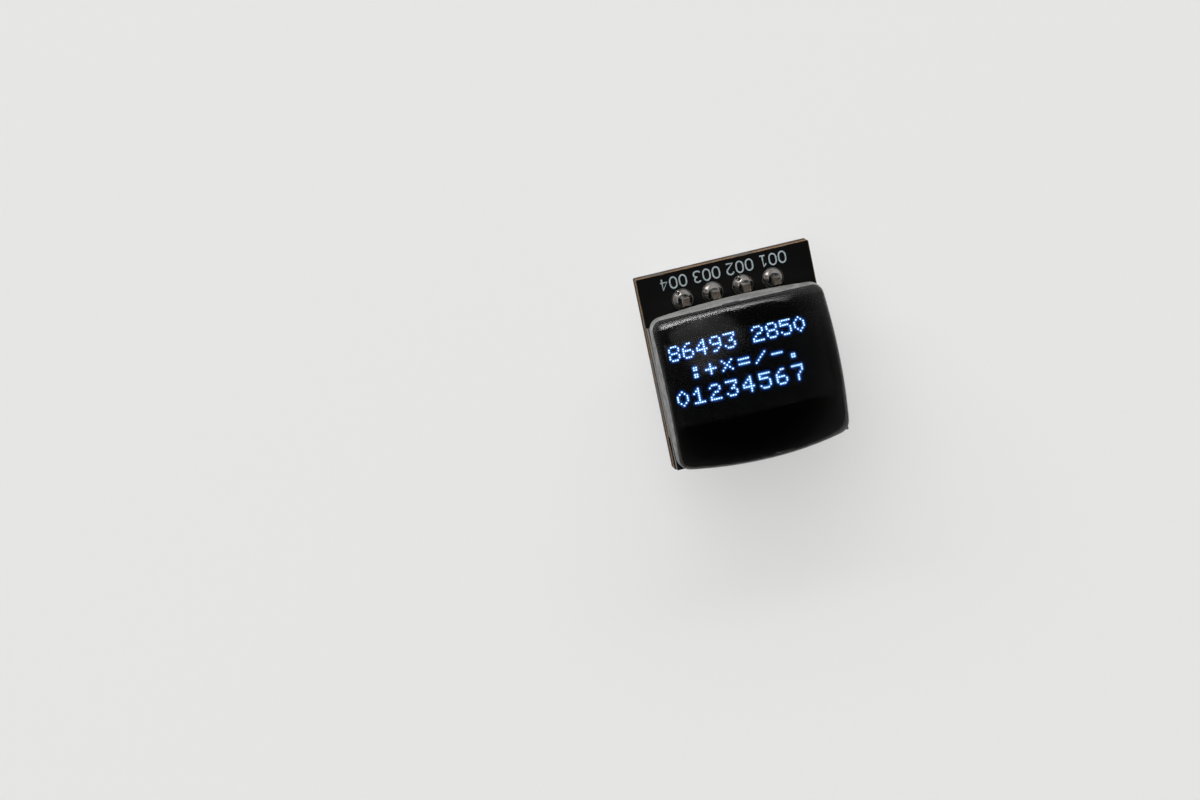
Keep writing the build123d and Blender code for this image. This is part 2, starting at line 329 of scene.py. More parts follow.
def add_piece(name, mesh, finish, replaced=()):
    """Put a finished mesh in the scene and tell the frame what it is."""
    piece = bpy.data.objects.new(name, mesh)
    bpy.context.scene.collection.objects.link(piece)
    mesh.materials.clear()
    mesh.materials.append(finish.material)
    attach(piece, "root")
    if replaced:
        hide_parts(*replaced)
    return piece


def legend():
    strokes = []
    for pin in range(PIN_COUNT):
        number = f"{PIN_COUNT - pin:03d}"
        centre_x = (pin - (PIN_COUNT - 1) / 2) * LEGEND_PITCH + LEGEND_SHIFT
        for place, figure in enumerate(number):
            left = (place - 1) * FIGURE_PITCH - FIGURE_WIDTH / 2
            for stroke in figure_strokes(figure):
                turned = []
                for u, v in stroke:
                    x = centre_x - (left + u * FIGURE_WIDTH)
                    y = LEGEND_ABOVE_PINS - (v - 0.5) * CAP_HEIGHT
                    turned.append((x, y))
                strokes.append(turned)
    mesh = printed_strokes("legend", strokes, INK_STROKE, INK_THICKNESS)
    mesh.transform(Matrix.Translation((0, 0, board_high[2])))
    finish = Finish("legend_ink", {"Roughness": 0.6})
    wear = finish.grain(INK_WEAR_SIZE, 3.0)
    finish.set({"Base Color": finish.blend(wear.ramp(0.35, 0.55), WORN_INK_COLOUR, INK_COLOUR)})
    finish.bump(wear, INK_RELIEF)
    return add_piece("legend", mesh, finish)


legend()


# Pads and terminals
# Copper rings, contact pads and component pads, all tinned, and the metal ends of the chip parts.
PAD_TIN = (0.66, 0.65, 0.62, 1)
PAD_PATCH_SIZE = 0.25 * MM
END_TIN = (0.72, 0.71, 0.69, 1)
END_PATCH_SIZE = 0.12 * MM
TARNISH = 0.6
TIN_RELIEF = 0.01 * MM


def tinned(name, colour, rough_low, rough_high, size):
    """Tin with duller patches of about the given size."""
    finish = Finish(name, {"Metallic": 1.0})
    patches = finish.grain(size, 4.0)
    dark = tuple(TARNISH * part for part in colour[:3]) + (1,)
    finish.set({
        "Base Color": finish.blend(patches.ramp(0.3, 0.6), dark, colour),
        "Roughness": rough_low + (rough_high - rough_low) * patches,
    })
    finish.bump(patches, TIN_RELIEF, 0.4)
    return finish


tinned_pads = tinned("tinned_pads", PAD_TIN, 0.25, 0.55, PAD_PATCH_SIZE)
for node_name in ("plated_holes", "flex_pads", "component_pads"):
    dress(node_name, tinned_pads)
tinned_ends = tinned("tinned_ends", END_TIN, 0.3, 0.6, END_PATCH_SIZE)


# Header
# Black moulded housing of four segments, and four square brass pins, tinned along their length.
# The upper ends were cut off with pliers, so each shows a dull, torn face with a bright lip.
PLASTIC_DARK = (0.012, 0.012, 0.013, 1)
PLASTIC_LIGHT = (0.022, 0.022, 0.023, 1)
PLASTIC_SPECKLE = 0.09 * MM
PLASTIC_RELIEF = 0.008 * MM
PIN_TIN_DARK = (0.50, 0.48, 0.45, 1)
PIN_TIN_LIGHT = (0.74, 0.72, 0.68, 1)
CUT_DARK = (0.16, 0.12, 0.09, 1)
CUT_LIGHT = (0.50, 0.43, 0.36, 1)
TORN_SIZE = 0.14 * MM
STREAK_SIZE = 0.05 * MM
STREAK_STRETCH = 0.06
PIN_RELIEF = 0.035 * MM
PIN_WIDTH = 0.64 * MM
TIP_CHAMFER = 0.12 * MM
CUT_BEVEL = 0.035 * MM
CUT_SLOPE = 0.16
CUT_DENT = 0.03 * MM
CUT_FACE_DEPTH = 0.12 * MM
CUT_FACE_FADE = 0.04 * MM
CUT_GRID = 9
CUT_RINGS = (0.94, 0.8, 0.6, 0.4, 0.2)


def moulded_plastic():
    finish = Finish("header_plastic", {"IOR": 1.5})
    speckle = finish.grain(PLASTIC_SPECKLE, 3.0)
    finish.set({
        "Base Color": finish.blend(speckle, PLASTIC_DARK, PLASTIC_LIGHT),
        "Roughness": 0.42 + 0.2 * speckle,
    })
    finish.bump(speckle, PLASTIC_RELIEF, 0.5)
    return finish


def pin_metal():
    """Tin drawn along the pin, and the torn brass of the cut face."""
    finish = Finish("pin_metal", {"Metallic": 1.0})
    pin_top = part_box("header_pin_1")[1][2]
    face_low = pin_top - CUT_FACE_DEPTH
    near_top = finish.level().ramp(face_low, face_low + CUT_FACE_FADE)
    end_face = finish.upness().ramp(0.6, 0.8) * near_top
    torn = finish.grain(TORN_SIZE, 5.0, 0.7)
    along = finish.node("Mapping", {}, {"Vector": finish.place(), "Scale": (1, 1, STREAK_STRETCH)})
    streaks = finish.node(
        "TexNoise",
        {"noise_dimensions": "3D"},
        {"Vector": along, "Scale": 1 / STREAK_SIZE, "Detail": 2.0},
    )
    cut_face = finish.blend(torn.ramp(0.3, 0.7), CUT_DARK, CUT_LIGHT)
    side = finish.blend(streaks, PIN_TIN_DARK, PIN_TIN_LIGHT)
    finish.set({
        "Base Color": finish.blend(end_face, side, cut_face),
        "Roughness": 0.24 + 0.12 * streaks + 0.16 * end_face * torn,
    })
    finish.bump(torn * (0.25 + end_face), PIN_RELIEF, 0.8)
    return finish


def cut_pin(number, finish):
    """A square pin with a chamfered lower tip and an upper end cut a little aslant."""
    low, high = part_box(f"header_pin_{number}")
    centre = Vector(((low[0] + high[0]) / 2, (low[1] + high[1]) / 2, 0))
    half = PIN_WIDTH / 2
    seed = Vector((number * 4.1, number * 2.3, 0.7))
    mesh = bmesh.new()

    def square(reach, levels):
        ring = []
        for side in range(4):
            for step in range(CUT_GRID):
                along = 2 * step / CUT_GRID - 1
                u, v = ((along, -1), (1, along), (-along, 1), (-1, -along))[side]
                point = centre + Vector((u * reach, v * reach, 0))
                point.z = levels(u, v)
                ring.append(mesh.verts.new(point))
        return ring

    def cut_level(u, v):
        dent = noise.noise(seed + Vector((u, v, 0)) * 1.7)
        return high[2] - half * CUT_SLOPE * (1 + v) / 2 - CUT_DENT * (1 + dent)

    rings = [square(half - TIP_CHAMFER, lambda u, v: low[2])]
    rings.append(square(half, lambda u, v: low[2] + TIP_CHAMFER))
    rings.append(square(half, lambda u, v: cut_level(u, v) - CUT_BEVEL))
    for share in CUT_RINGS:
        reach = half * share
        rings.append(square(reach, lambda u, v, share=share: cut_level(u * share, v * share)))
    for lower, upper in zip(rings, rings[1:]):
        for i in range(len(lower)):
            j = (i + 1) % len(lower)
            mesh.faces.new((lower[i], lower[j], upper[j], upper[i]))
    mesh.faces.new(list(reversed(rings[0])))
    mesh.faces.new(rings[-1])
    data = bpy.data.meshes.new(f"cut_pin_{number}")
    mesh.to_mesh(data)
    mesh.free()
    return add_piece(f"cut_pin_{number}", data, finish, [f"header_pin_{number}"])


dress("header_housing", moulded_plastic())
pin_finish = pin_metal()
for number in range(1, PIN_COUNT + 1):
    cut_pin(number, pin_finish)


# Solder joints
# Hand-made joints: tin solder that ran round each pin, a bright and slightly lopsided dome that
# thins out up the pin, with a drawn-out tip where the iron left two of them.
SOLDER_RINGS = 34
SOLDER_SEGMENTS = 56
SOLDER_NECK = 0.36 * MM
SHOULDER_HEIGHT = 0.36 * MM
LEAN = 0.05 * MM
RIPPLE = 0.022 * MM
SPIKES = {1: 0.16 * MM, 3: 0.2 * MM}
SPIKE_TOWARDS = Vector((-0.35, 0.94, 0)).normalized()
SPIKE_RISE = 0.18
SPIKE_BAND = 0.1
SPIKE_SHARPNESS = 60
SOLDER_DARK = (0.30, 0.28, 0.26, 1)
SOLDER_LIGHT = (0.50, 0.48, 0.46, 1)
SKIN_SIZE = 0.5 * MM
FROST_SIZE = 0.1 * MM
SOLDER_RELIEF = 0.02 * MM


def bright_solder():
    finish = Finish("bright_solder", {"Metallic": 1.0})
    skin = finish.grain(SKIN_SIZE, 4.0, 0.6)
    frost = finish.grain(FROST_SIZE, 3.0)
    finish.set({
        "Base Color": finish.blend(skin.ramp(0.3, 0.7), SOLDER_DARK, SOLDER_LIGHT),
        "Roughness": 0.12 + 0.2 * skin.ramp(0.45, 0.75) * frost,
    })
    finish.bump(skin + 0.25 * frost, SOLDER_RELIEF, 0.25)
    return finish


def solder_dome(number, finish, spike):
    """Rings of points from the pad up the pin, with a little noise on the dome's own part."""
    low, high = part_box(f"solder_joint_{number}")
    centre = Vector(((low[0] + high[0]) / 2, (low[1] + high[1]) / 2, 0))
    pad_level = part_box("plated_holes")[1][2]
    height = high[2] - pad_level
    base = (high[0] - low[0]) / 2 - RIPPLE
    seed = Vector((number * 7.3, number * 3.1, number * 5.7))
    lean = Vector((math.cos(number * 2.1), math.sin(number * 2.1), 0)) * LEAN
    mesh = bmesh.new()
    rings = []
    for ring in range(SOLDER_RINGS + 1):
        share = ring / SOLDER_RINGS
        level = height * share ** 1.6
        rise = level / height
        radius = SOLDER_NECK + (base - SOLDER_NECK) * math.exp(-((level / SHOULDER_HEIGHT) ** 2))
        row = []
        for segment in range(SOLDER_SEGMENTS):
            angle = 2 * math.pi * segment / SOLDER_SEGMENTS
            out = Vector((math.cos(angle), math.sin(angle), 0))
            wobble = noise.noise(seed + out * 1.1 + Vector((0, 0, rise * 2.0)))
            calm = min(1.0, 4 * rise * (1.15 - rise))
            reach = radius + RIPPLE * wobble * calm
            point = centre + out * reach + lean * rise + Vector((0, 0, pad_level + level))
            if spike:
                facing = max(0.0, out.dot(SPIKE_TOWARDS)) ** SPIKE_SHARPNESS
                band = math.exp(-(((rise - SPIKE_RISE) / SPIKE_BAND) ** 2))
                point += (out + Vector((0, 0, 0.5))) * spike * band * facing
            row.append(mesh.verts.new(point))
        rings.append(row)
    for lower, upper in zip(rings, rings[1:]):
        for i in range(SOLDER_SEGMENTS):
            j = (i + 1) % SOLDER_SEGMENTS
            mesh.faces.new((lower[i], lower[j], upper[j], upper[i]))
    mesh.faces.new(list(reversed(rings[0])))
    mesh.faces.new(rings[-1])
    for face in mesh.faces:
        face.smooth = len(face.verts) == 4
    data = bpy.data.meshes.new(f"solder_dome_{number}")
    mesh.to_mesh(data)
    mesh.free()
    return add_piece(f"solder_dome_{number}", data, finish, [f"solder_joint_{number}"])


solder_finish = bright_solder()
for number in range(1, PIN_COUNT + 1):
    solder_dome(number, solder_finish, SPIKES.get(number, 0))
for node_name in ("flex_solder", "component_solder"):
    dress(node_name, solder_finish)


# Display panel
# Two sheets of 0.5 mm glass on black foam tape, with the light-emitting layer sealed between
# them. The black polarizer hides all of it from the front, and only the cut edges show.
FOAM_DARK = (0.008, 0.008, 0.008, 1)
FOAM_LIGHT = (0.02, 0.02, 0.02, 1)
FOAM_CELL = 0.08 * MM
FOAM_RELIEF = 0.03 * MM
GLASS_FACE = (0.010, 0.011, 0.012, 1)
GLASS_EDGE_DARK = (0.022, 0.026, 0.026, 1)
GLASS_EDGE_PALE = (0.22, 0.24, 0.24, 1)
NICK_SIZE = 0.25 * MM
NICK_RELIEF = 0.03 * MM
FILM_DARK = (0.0025, 0.0025, 0.003, 1)
FILM_LIGHT = (0.004, 0.004, 0.0045, 1)
FILM_HAZE_SIZE = 1.5 * MM


def foam():
    finish = Finish("foam_tape", {"Roughness": 0.9})
    cells = finish.grain(FOAM_CELL, 2.0)
    finish.set({"Base Color": finish.blend(cells, FOAM_DARK, FOAM_LIGHT)})
    finish.bump(cells, FOAM_RELIEF)
    return finish


def sheet_glass():
    """Dark polished faces, since black films lie on them, and scribed edges with pale nicks."""
    finish = Finish("sheet_glass", {"IOR": 1.52, "Specular IOR Level": 0.6})
    nicks = finish.grain(NICK_SIZE, 4.0, 0.7)
    face = finish.upness().ramp(0.5, 0.9)
    edge = finish.blend(nicks.ramp(0.5, 0.68), GLASS_EDGE_DARK, GLASS_EDGE_PALE)
    finish.set({
        "Base Color": finish.blend(face, edge, GLASS_FACE),
        "Roughness": 0.32 - 0.24 * face + 0.1 * nicks,
    })
    finish.bump(nicks * (1 - face), NICK_RELIEF, 0.5)
    return finish


def black_film(name, roughness):
    finish = Finish(name, {"IOR": 1.49, "Specular IOR Level": 0.05})
    haze = finish.grain(FILM_HAZE_SIZE, 2.0)
    finish.set({
        "Base Color": finish.blend(haze, FILM_DARK, FILM_LIGHT),
        "Roughness": roughness + 0.06 * haze,
    })
    return finish


dress("mounting_tape", foam())
panel_glass = sheet_glass()
dress("front_glass", panel_glass)
dress("cap_glass", panel_glass)
film = black_film("polarizer_film", 0.12)
for node_name in ("polarizer", "ledge_tape", "lens_adhesive", "pixel_layer"):
    dress(node_name, film)
dress("chip_sealant", black_film("chip_sealant", 0.3))


DRYING_DARK = (0.5, 0.49, 0.45, 1)
DRYING_LIGHT = (0.7, 0.69, 0.66, 1)
DRYING_SPECKLE = 0.1 * MM
SILICON_DARK = (0.10, 0.10, 0.12, 1)
SILICON_LIGHT = (0.16, 0.17, 0.20, 1)
SILICON_SPECKLE = 0.4 * MM
SPECKLE_RELIEF = 0.006 * MM


def plain_speckle(name, dark, light, size, roughness):
    finish = Finish(name, {"Roughness": roughness})
    speckle = finish.grain(size, 3.0)
    finish.set({"Base Color": finish.blend(speckle.ramp(0.3, 0.7), dark, light)})
    finish.bump(speckle, SPECKLE_RELIEF, 0.5)
    return finish


drying_paper = plain_speckle("desiccant", DRYING_DARK, DRYING_LIGHT, DRYING_SPECKLE, 0.8)
dress("desiccant_sheet", drying_paper)
silicon = plain_speckle("silicon", SILICON_DARK, SILICON_LIGHT, SILICON_SPECKLE, 0.15)
dress("driver_chip", silicon)


# Lit dots
# A 64 by 32 matrix. Every lit dot is a small white square with a blue glow round it, drawn on
# top of the polarizer because the layers above the real one can't be seen through in the export.
DOT_COLUMNS = 64
DOT_ROWS = 32
DOT_PITCH = 0.18 * MM
ROW_PITCH = 0.1755 * MM
DOT_SIZE = 0.09 * MM
DOT_SHIFT = Vector((-0.045 * MM, 0.21 * MM, 0))
DOT_LIFT = 0.03 * MM
GLOW_LIFT = 0.015 * MM
DOT_BLUE = (0.60, 0.86, 1.0, 1)
DOT_WHITE = (0.86, 0.97, 1.0, 1)
DOT_SHIMMER_SIZE = 0.3 * MM
UNLIT = (0.02, 0.02, 0.03, 1)
GLOW_REACH = 0.12 * MM
GLOW_STEPS = 4
GLOW_FAR = (0.003, 0.05, 0.30, 1)
GLOW_NEAR = (0.05, 0.30, 0.80, 1)
DARK = (0, 0, 0, 1)
GLYPHS = {
    "0": ("  #  ", " # # ", "#   #", "#   #", "#   #", " # # ", "  #  "),
    "1": ("  #  ", " ##  ", "# #  ", "  #  ", "  #  ", "  #  ", "#####"),
    "2": (" ### ", "#   #", "    #", "  ## ", " #   ", "#    ", "#####"),
    "3": ("#####", "    #", "   # ", "  ## ", "    #", "#   #", " ### "),
    "4": ("   # ", "  ## ", " # # ", "#  # ", "#####", "   # ", "   # "),
    "5": ("#####", "#    ", "#### ", "    #", "    #", "#   #", " ### "),
    "6": ("  ## ", " #   ", "#    ", "#### ", "#   #", "#   #", " ### "),
    "7": ("#####", "    #", "    #", "   # ", "  #  ", "  #  ", "  #  "),
    "8": (" ### ", "#   #", "#   #", " ### ", "#   #", "#   #", " ### "),
    "9": (" ### ", "#   #", "#   #", " ####", "    #", "   # ", " ##  "),
    "+": ("     ", "  #  ", "  #  ", "#####", "  #  ", "  #  ", "     "),
    "-": ("     ", "     ", "     ", "#####", "     ", "     ", "     "),
    "x": ("     ", "#   #", " # # ", "  #  ", " # # ", "#   #", "     "),
    "/": ("     ", "    #", "   # ", "  #  ", " #   ", "#    ", "     "),
    "=": ("     ", "     ", "#####", "     ", "#####", "     ", "     "),
    ":": ("     ", "  ## ", "  ## ", "     ", "  ## ", "  ## ", "     "),
    ".": ("     ", "     ", "     ", "     ", "     ", " ##  ", " ##  "),
}
# Each line of figures: its text, first column, top row, and pitch in dots.
SCREEN_LINES = (("86493 2850", 0, 0, 6), (":+x=/-.", 7, 10, 7), ("01234567", 0, 20, 7))


def lit_dots():
    """Column and row of every lit dot."""
    lit = []
    for text, first_column, top_row, pitch in SCREEN_LINES:
        for place, character in enumerate(text):
            if character == " ":
                continue
            for row, line in enumerate(GLYPHS[character]):
                for column, mark in enumerate(line):
                    if mark == "#":
                        lit.append((first_column + place * pitch + column, top_row + row))
    return lit


layer_low, layer_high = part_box("pixel_layer")
screen_centre = Vector(((layer_low[0] + layer_high[0]) / 2, (layer_low[1] + layer_high[1]) / 2, 0))
screen_centre.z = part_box("polarizer")[1][2]


def dot_place(column, row):
    x = (column + 0.5 - DOT_COLUMNS / 2) * DOT_PITCH
    y = (DOT_ROWS / 2 - row - 0.5) * ROW_PITCH
    return screen_centre + DOT_SHIFT + Vector((x, y, 0))


def dot_finish():
    finish = Finish("lit_dots", {
        "Base Color": UNLIT,
        "Roughness": 0.5,
        "Specular IOR Level": 0.0,
        "Emission Strength": 2.3,
    })
    shimmer = finish.grain(DOT_SHIMMER_SIZE, 1.0)
    finish.set({"Emission Color": finish.blend(shimmer, DOT_BLUE, DOT_WHITE)})
    return finish


def repeat_on_points(name, points, build_shape, finish):
    """Geometry Nodes: one copy of a small shape on every point, made one plain mesh."""
    mesh = bpy.data.meshes.new(name)
    mesh.from_pydata(points, [], [])
    holder = bpy.data.objects.new(name, mesh)
    bpy.context.scene.collection.objects.link(holder)
    tree = bpy.data.node_groups.new(name, "GeometryNodeTree")
    tree.interface.new_socket("Geometry", in_out="INPUT", socket_type="NodeSocketGeometry")
    tree.interface.new_socket("Geometry", in_out="OUTPUT", socket_type="NodeSocketGeometry")
    size_input = tree.interface.new_socket("Size", in_out="INPUT", socket_type="NodeSocketFloat")
    source = tree.nodes.new("NodeGroupInput")
    shape, size = build_shape(tree, source.outputs["Size"])
    copies = tree.nodes.new("GeometryNodeInstanceOnPoints")
    tree.links.new(source.outputs["Geometry"], copies.inputs["Points"])
    tree.links.new(shape, copies.inputs["Instance"])
    realize = tree.nodes.new("GeometryNodeRealizeInstances")
    tree.links.new(copies.outputs["Instances"], realize.inputs["Geometry"])
    coat = tree.nodes.new("GeometryNodeSetMaterial")
    coat.inputs["Material"].default_value = finish.material
    tree.links.new(realize.outputs["Geometry"], coat.inputs["Geometry"])
    result = tree.nodes.new("NodeGroupOutput")
    tree.links.new(coat.outputs["Geometry"], result.inputs["Geometry"])
    modifier = holder.modifiers.new(name, "NODES")
    modifier.node_group = tree
    modifier[size_input.identifier] = size
    bpy.context.view_layer.update()
    depsgraph = bpy.context.evaluated_depsgraph_get()
    plain = bpy.data.meshes.new_from_object(holder.evaluated_get(depsgraph))
    plain.name = name
    bpy.data.objects.remove(holder)
    return plain


def dot_square(tree, size_socket):
    square = tree.nodes.new("GeometryNodeMeshGrid")
    square.inputs["Vertices X"].default_value = 2
    square.inputs["Vertices Y"].default_value = 2
    tree.links.new(size_socket, square.inputs["Size X"])
    tree.links.new(size_socket, square.inputs["Size Y"])
    return square.outputs["Mesh"], DOT_SIZE


dots = lit_dots()
points = [dot_place(column, row) + Vector((0, 0, DOT_LIFT)) for column, row in dots]
dots_look = dot_finish()
dots_mesh = repeat_on_points("lit_dots", points, dot_square, dots_look)
add_piece("lit_dots", dots_mesh, dots_look)


def glow():
    """A fine grid over the matrix that carries how much blue light spills from the lit dots."""
    columns = DOT_COLUMNS * GLOW_STEPS
    rows = DOT_ROWS * GLOW_STEPS
    lit = set(dots)
    verts, faces, strengths = [], [], []
    for j in range(rows + 1):
        for i in range(columns + 1):
            column, row = i / GLOW_STEPS - 0.5, j / GLOW_STEPS - 0.5
            verts.append(dot_place(column, row) + Vector((0, 0, GLOW_LIFT)))
            spill = 0.0
            for near_row in range(int(row) - 1, int(row) + 3):
                for near_column in range(int(column) - 1, int(column) + 3):
                    if (near_column, near_row) in lit:
                        gap = math.hypot(near_column - column, near_row - row) * DOT_PITCH
                        spill += math.exp(-(gap / GLOW_REACH) ** 2)
            strengths.append(min(1.0, spill))
    for j in range(rows):
        for i in range(columns):
            a = j * (columns + 1) + i
            faces.append((a, a + columns + 1, a + columns + 2, a + 1))
    mesh = bpy.data.meshes.new("dot_glow")
    mesh.from_pydata(verts, [], faces)
    attribute = mesh.attributes.new("spill", "FLOAT", "POINT")
    attribute.data.foreach_set("value", strengths)
    finish = Finish("dot_glow", {
        "Base Color": FILM_DARK,
        "Roughness": 0.5,
        "Specular IOR Level": 0.0,
        "Emission Strength": 1.0,
    })
    spill = finish.node("Attribute", {"attribute_name": "spill"}, {}, "Fac")
    light = finish.blend(spill.ramp(0.4, 1.0), GLOW_FAR, GLOW_NEAR)
    finish.set({"Emission Color": finish.blend(spill.ramp(0.0, 0.5), DARK, light)})
    return add_piece("dot_glow", mesh, finish)


glow()


# Flexible cable
# Fourteen copper tracks in polyimide under a black cover film. It is bonded under the glass
# ledge, bent down past the board's lower edge and soldered underneath.
TRACK_PITCH = 0.62 * MM
COVER_DARK = (0.010, 0.008, 0.006, 1)
COVER_LIGHT = (0.018, 0.014, 0.010, 1)
COVER_OVER_TRACK = (0.045, 0.032, 0.018, 1)
COVER_MOTTLE_SIZE = 0.8 * MM
TRACK_RELIEF = 0.01 * MM


def cable_film():
    """Dark film in which the tracks stand out a little."""
    finish = Finish("cover_film", {"IOR": 1.5, "Roughness": 0.3, "Specular IOR Level": 0.3})
    pitches = finish.axes()[0] / TRACK_PITCH
    from_middle = abs(pitches.math("FRACT", pitches) - 0.5)
    track = 1 - from_middle.ramp(0.26, 0.32)
    mottle = finish.grain(COVER_MOTTLE_SIZE, 3.0)
    film_colour = finish.blend(mottle, COVER_DARK, COVER_LIGHT)
    finish.set({"Base Color": finish.blend(track * 0.5, film_colour, COVER_OVER_TRACK)})
    finish.bump(track + 0.2 * mottle, TRACK_RELIEF, 0.6)
    return finish


dress("flex_cable", cable_film())


# Chip parts under the board
# Six tan capacitors and four black resistors with tinned ends, in two rows between the header
# and the end of the cable.
CAPACITOR_COUNT = 6
RESISTOR_COUNT = 4
TAN_DARK = (0.30, 0.20, 0.12, 1)
TAN_LIGHT = (0.42, 0.30, 0.19, 1)
TAN_SPECKLE = 0.12 * MM
ALUMINA_WHITE = (0.62, 0.62, 0.60, 1)
GLAZE_DARK = (0.006, 0.006, 0.007, 1)
GLAZE_LIGHT = (0.015, 0.015, 0.017, 1)
GLAZE_SPECKLE = 0.1 * MM
GLAZE_FROM = 0.02 * MM
GLAZE_TO = 0.05 * MM


def resistor_ceramic():
    """White alumina whose lower face is glazed black."""
    finish = Finish("resistor_ceramic", {"Roughness": 0.3})
    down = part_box("resistor_body_1")[0][2]
    low_part = 1 - finish.level().ramp(down + GLAZE_FROM, down + GLAZE_TO)
    glazed = low_part * finish.upness().ramp(0.5, 0.8)
    speckle = finish.grain(GLAZE_SPECKLE, 3.0)
    glaze = finish.blend(speckle, GLAZE_DARK, GLAZE_LIGHT)
    finish.set({"Base Color": finish.blend(glazed, ALUMINA_WHITE, glaze)})
    finish.bump(speckle, SPECKLE_RELIEF, 0.5)
    return finish


capacitor_ceramic = plain_speckle("capacitor_ceramic", TAN_DARK, TAN_LIGHT, TAN_SPECKLE, 0.55)
for number in range(1, CAPACITOR_COUNT + 1):
    dress(f"capacitor_body_{number}", capacitor_ceramic)
    dress(f"capacitor_terminals_{number}", tinned_ends)

resistor_finish = resistor_ceramic()
for number in range(1, RESISTOR_COUNT + 1):
    dress(f"resistor_body_{number}", resistor_finish)
    dress(f"resistor_terminals_{number}", tinned_ends)


# Magnifying lens
# Clear moulded acrylic: a barrel outline with finely frosted side walls, and a polished dome
# that meets them in a small rolled arris. It stands on the panel on a frame of clear adhesive.
DOME_RADIUS = 14.9 * MM
END_BOW = 0.4 * MM
SIDE_BOW = 0.08 * MM
CORNER_RADIUS = 1.0 * MM
ARRIS = 0.5 * MM
SINK_DEPTH = 0.03 * MM
SINK_SHARE = 0.1
SINK_WAVE = 0.8
SINK_WAVELENGTH = 3.2 * MM
BASE_CHAMFER = 0.1 * MM
SIDE_POINTS = 36
CORNER_POINTS = 20
WALL_STEPS = 4
ARRIS_STEPS = 8
DOME_RINGS = 60
WALL_SLOPE = 0.35
WALL_UNDER_DOME = 0.3

lens_low, lens_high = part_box("lens")
lens_centre = Vector(((lens_low[0] + lens_high[0]) / 2, (lens_low[1] + lens_high[1]) / 2, 0))
half_width = (lens_high[0] - lens_low[0]) / 2
half_length = (lens_high[1] - lens_low[1]) / 2


def bowed_side(start, end, bow):
    """Circle through two corners whose middle stands out by bow: its centre and radius."""
    chord = end - start
    half = chord.length / 2
    radius = (half * half + bow * bow) / (2 * bow)
    outward = Vector((chord.y, -chord.x)).normalized()
    middle = (start + end) / 2
    return middle + outward * (bow - radius), radius


def barrel_outline(inset):
    """Points and outward normals round the lens, anticlockwise, at a distance inside its wall."""
    corner = Vector((half_width - SIDE_BOW, half_length - END_BOW))
    corners = [
        Vector((corner.x, -corner.y)),
        Vector((corner.x, corner.y)),
        Vector((-corner.x, corner.y)),
        Vector((-corner.x, -corner.y)),
    ]
    bows = (SIDE_BOW, END_BOW, SIDE_BOW, END_BOW)
    sides = [bowed_side(corners[i], corners[(i + 1) % 4], bows[i]) for i in range(4)]
    fillets = []
    for i in range(4):
        (a, ra), (b, rb) = sides[i - 1], sides[i]
        fillets.append(circle_meeting(a, ra - CORNER_RADIUS, b, rb - CORNER_RADIUS, corners[i]))
    points = []
    for i in range(4):
        centre, radius = sides[i]
        begin = (fillets[i] - centre).normalized()
        finish_at = (fillets[(i + 1) % 4] - centre).normalized()
        points += sweep(centre, radius - inset, begin, finish_at, SIDE_POINTS)
        next_centre = sides[(i + 1) % 4][0]
        turn_end = (fillets[(i + 1) % 4] - next_centre).normalized()
        corner_radius = CORNER_RADIUS - inset
        points += sweep(fillets[(i + 1) % 4], corner_radius, finish_at, turn_end, CORNER_POINTS)
    return points


def circle_meeting(a, ra, b, rb, near):
    """The crossing of two circles that lies nearest to a point."""
    gap = b - a
    distance = gap.length
    along = (ra * ra - rb * rb + distance * distance) / (2 * distance)
    across = math.sqrt(max(0.0, ra * ra - along * along))
    unit = gap / distance
    side = Vector((-unit.y, unit.x))
    candidates = (a + unit * along + side * across, a + unit * along - side * across)
    return min(candidates, key=lambda point: (point - near).length)


def sweep(centre, radius, begin, end, count):
    """Points on an arc from one direction to another, without its last point."""
    start_angle = math.atan2(begin.y, begin.x)
    span = (math.atan2(end.y, end.x) - start_angle) % (2 * math.pi)
    points = []
    for i in range(count):
        angle = start_angle + span * i / count
        out = Vector((math.cos(angle), math.sin(angle)))
        points.append(centre + out * radius)
    return points


def dome_level(point, inwards=0.0):
    """Height of the polished face: a sphere that shrank a little, unevenly, near its edge."""
    sphere = lens_high[2] - DOME_RADIUS + math.sqrt(DOME_RADIUS ** 2 - point.length_squared)
    wave = noise.noise(Vector((point.x, point.y, 0)) / SINK_WAVELENGTH + Vector((3.7, 1.9, 0.4)))
    sink = SINK_DEPTH * (1 + SINK_WAVE * wave) * max(0.0, 1 - inwards / SINK_SHARE) ** 2
    return sphere - sink


